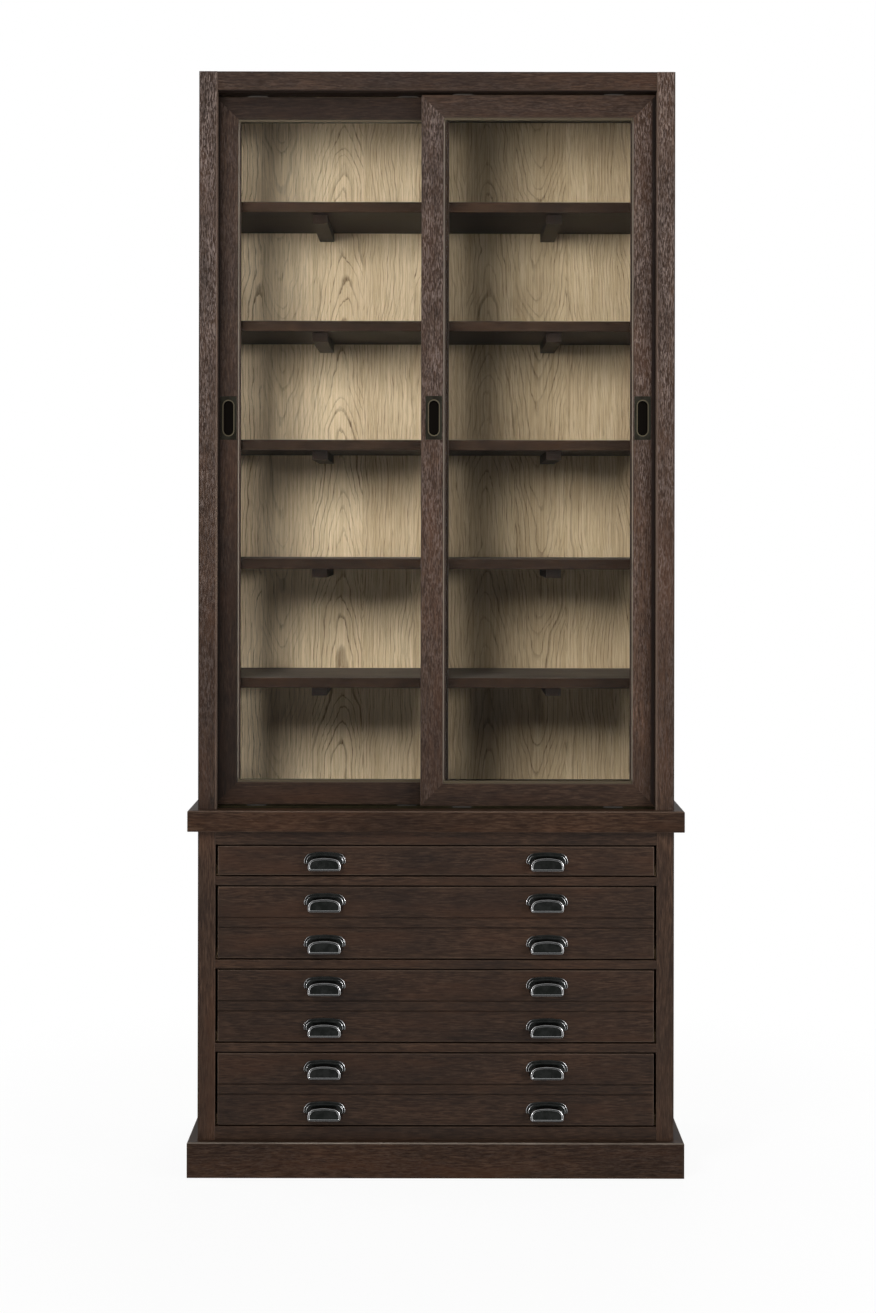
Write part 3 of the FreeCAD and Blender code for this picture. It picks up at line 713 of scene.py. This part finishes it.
def plain_wood(node, seed):
    """Pale sanded wood of the hidden boards."""
    shader = new_material("plain_" + node)
    grain = plain_grain(shader, node, seed)
    streak = shader.noise(grain, plain_streak_steps, detail=4.0, roughness=0.6)
    pore = shader.step(shader.noise(grain, plain_pore_steps, detail=2.0), *plain_pore_limits)
    tone = shader.noise(grain, plain_tone_steps, detail=2.0)
    colour = shader.tinted(shader.ramp(streak, plain_colours), shader.ramp(tone, plain_tints))
    colour = shader.mix(shader.product(pore, plain_pore_share), colour, plain_pore)
    relief = shader.math("SUBTRACT", streak, pore)
    return shader.finish(Base_Color=colour, Roughness=shader.span(streak, *plain_roughness),
                         Specular_IOR_Level=plain_gloss, Normal=shader.bump(relief, *plain_relief))


def cast_pewter(name, box):
    """Dark cast metal of the cup pulls: near-black flats, and rounds painted bright as a highlight, brightest
    at the sides.
    """
    shader = new_material(name)
    place = shader.place()
    blotch = shader.noise(place, pewter_blotch_steps)
    grit = shader.noise(place, pewter_grit_steps, detail=2.0)
    sizes = shader.facing_sizes()
    rounded = shader.product(shader.step(sizes["Y"], *round_limits), shader.step(sizes["Y"], *forward_limits))
    sideways = shader.step(sizes["X"], *sideways_limits)
    forward = beyond(shader, "Y", box[1][1] - flange_depth, box[1][1] - 2 * flange_depth)
    # Painted highlight on the rounds, weakest on the flange and growing to the sides
    least = shader.span(forward, *least_highlight)
    highlight_strength = shader.total(least, shader.product(sideways, shader.math("SUBTRACT", 1.0, least)))
    painted_shine = shader.product(shader.product(rounded, highlight_strength), shader.span(blotch, *blotch_shares), clamp=True)
    patina = shader.mix(shader.step(blotch, *pewter_patina_limits), pewter_dull, pewter_black)
    colour = shader.mix(painted_shine, patina, pewter_highlight)
    return shader.finish(Base_Color=colour, Metallic=1.0, Roughness=shader.span(grit, *pewter_roughness),
                         Normal=shader.bump(grit, *pewter_relief))


def worn_metal(name, dull, bright, roughness, edge_wear, scratch_steps):
    """Patinated metal: blotchy patina on the flats, rubbed brighter on the rounded edges."""
    shader = new_material(name)
    place = shader.place()
    blotch = shader.noise(place, worn_blotch_steps)
    scratch = shader.noise(place, scratch_steps, roughness=0.7)
    rubbed = shader.product(shader.eased_edge(), edge_wear)
    rubbed = shader.product(rubbed, shader.span(scratch, *worn_scratch_shares), clamp=True)
    dark = [worn_dark_share * part for part in dull[:3]] + [1]
    patina = shader.mix(shader.step(blotch, *patina_limits), dull, dark)
    colour = shader.mix(rubbed, patina, bright)
    spread = [roughness + change for change in worn_roughness_spread]
    rough = shader.total(shader.span(scratch, *spread), shader.product(rubbed, worn_edge_roughness))
    return shader.finish(Base_Color=colour, Metallic=1.0, Roughness=rough,
                         Normal=shader.bump(scratch, *scratch_relief))


def flush_bronze(name, box):
    """Dark bronze of the flush pulls: a dull plate, a rim line rubbed and painted as a highlight, and a
    recess painted black as shade.
    """
    shader = new_material(name)
    place = shader.place()
    blotch = shader.noise(place, bronze_blotch_steps)
    scratch = shader.noise(place, bronze_scratch_steps, roughness=0.7)
    front = box[0][1]
    on_rim = beyond(shader, "Y", *[front + rim_proud * share for share in rim_depth_shares])
    inside = beyond(shader, "Y", *[front + rim_proud * share for share in recess_depth_shares])
    colour = shader.mix(shader.step(blotch, *patina_limits), bronze_dull, bronze_dark)
    edge = shader.product(shader.eased_edge(), shader.span(scratch, *bronze_edge_shares))
    colour = shader.mix(edge, colour, bronze_rubbed)
    # Painted shade: the recess is coloured near-black
    colour = shader.mix(inside, colour, recess_shade_black)
    rim = shader.product(on_rim, shader.span(blotch, *bronze_rim_shares), clamp=True)
    # Rim line: rubbed and painted as a highlight
    colour = shader.mix(rim, colour, rim_wear_and_highlight)
    return shader.finish(Base_Color=colour, Metallic=1.0, Roughness=shader.span(scratch, *bronze_roughness),
                         Normal=shader.bump(scratch, *scratch_relief))


def clear_glass(name):
    """Thin clear pane: it lets the view through and mirrors a little at a slant."""
    shader = new_material(name)
    through = shader.node("ShaderNodeBsdfTransparent", {"Color": glass_tint})
    mirror = shader.node("ShaderNodeBsdfGlossy", {"Color": white, "Roughness": glass_roughness})
    share = shader.node("ShaderNodeFresnel", {"IOR": glass_index}).outputs[0]
    mixed = shader.node("ShaderNodeMixShader", {0: share, 1: through.outputs[0], 2: mirror.outputs[0]})
    return shader.output(mixed)


def nylon(name):
    """Moulded plastic with a slightly mottled surface."""
    shader = new_material(name)
    mottle = shader.noise(shader.place(), nylon_steps)
    return shader.finish(Base_Color=shader.mix(mottle, nylon_dark, nylon_light),
                         Roughness=shader.span(mottle, *nylon_roughness),
                         Normal=shader.bump(mottle, *nylon_relief))


def shared_materials():
    """The materials that all nodes of a slot have in common."""
    made = {
        "oak_veneer": oak_veneer("oak_veneer"),
        "glass": clear_glass("clear_glass"),
        "pull_metal": cast_pewter("dark_pewter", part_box("drawer_1_pulls")),
        "glide_nylon": nylon("glide_nylon"),
    }
    for slot, values in worn_metals.items():
        made[slot] = worn_metal(*values)
    return made


def finish_of(node, seed, shared):
    """The material of one node: its slot's shared one, or one of its own."""
    slot = slot_of[node]
    if slot in shared:
        return shared[slot]
    if slot == "flush_bronze":
        return flush_bronze("bronze_" + node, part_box(node))
    if slot == "box_wood":
        return plain_wood(node, seed)
    return stained_wood(node, seed)


def dress_nodes():
    """Give each node its material, and each board a grain of its own."""
    shared = shared_materials()
    for seed, (node, shown) in enumerate(sorted(nodes.items())):
        shown.data.materials.clear()
        shown.data.materials.append(finish_of(node, seed, shared))


def floor_material():
    """Pale floor: seen directly it is nearly white, and the shadow near the object stays."""
    shader = new_material("pale_floor")
    place = shader.place()
    reach = shader.node("ShaderNodeVectorMath", {0: place}, operation="LENGTH").outputs["Value"]
    far = shader.step(reach, *shadow_reach)
    glow = shader.product(shader.seen(), shader.span(far, floor_glow_share, 1.0))
    tint = shader.mix(shader.noise(place, speck_steps, detail=2.0), floor_grey, floor_pale)
    matt = shader.node("ShaderNodeBsdfDiffuse", {"Color": tint})
    bright = shader.node("ShaderNodeEmission", {"Color": white, "Strength": 1.0})
    mixed = shader.node("ShaderNodeMixShader", {0: glow, 1: matt.outputs[0], 2: bright.outputs[0]})
    return shader.output(mixed)


def add_floor():
    """A wide round floor under the object."""
    turns = [2 * math.pi * number / floor_sides for number in range(floor_sides)]
    rim = [(floor_radius * math.cos(turn), floor_radius * math.sin(turn), 0) for turn in turns]
    mesh = bpy.data.meshes.new("floor")
    mesh.from_pydata(rim, [], [list(range(floor_sides))])
    mesh.materials.append(floor_material())
    floor = bpy.data.objects.new("floor", mesh)
    floor.location.z = cad_box[0][2] - floor_drop
    scene.collection.objects.link(floor)


def add_lamp(name, place, aim, size, beam, power, in_gloss):
    """A soft flat lamp that points at a place; a beam under 180 degrees narrows it as a grid does."""
    data = bpy.data.lights.new(name, "AREA")
    data.shape = "RECTANGLE"
    data.size, data.size_y = size
    data.spread = math.radians(beam)
    data.energy = power
    lamp = bpy.data.objects.new(name, data)
    lamp.location = place
    lamp.rotation_euler = (Vector(aim) - Vector(place)).to_track_quat("-Z", "Y").to_euler()
    lamp.visible_camera = False
    lamp.visible_glossy = in_gloss
    scene.collection.objects.link(lamp)


def add_world():
    """Even soft light all round, and a white background where it is seen."""
    shader = Shader(bpy.data.worlds.new("studio"))
    strength = shader.span(shader.seen(), ambient_strength, 1.0)
    light = shader.node("ShaderNodeBackground", {"Color": white, "Strength": strength})
    scene.world = shader.output(light, "ShaderNodeOutputWorld")


def add_camera():
    """A level camera in front of the object, framed as in the photograph."""
    data = bpy.data.cameras.new("camera")
    data.sensor_width = sensor_size
    data.lens = sensor_size * focal_pixels / image_height
    data.shift_y = (horizon_row - image_height / 2) / image_height
    camera = bpy.data.objects.new("camera", data)
    camera.location = camera_place
    camera.rotation_euler = (level_tilt, camera_roll, 0)
    scene.collection.objects.link(camera)
    scene.camera = camera


dress_nodes()
add_floor()
for lamp_name, lamp_values in lamps.items():
    add_lamp(lamp_name, *lamp_values)
add_world()
add_camera()
scene.view_settings.view_transform = "Standard"
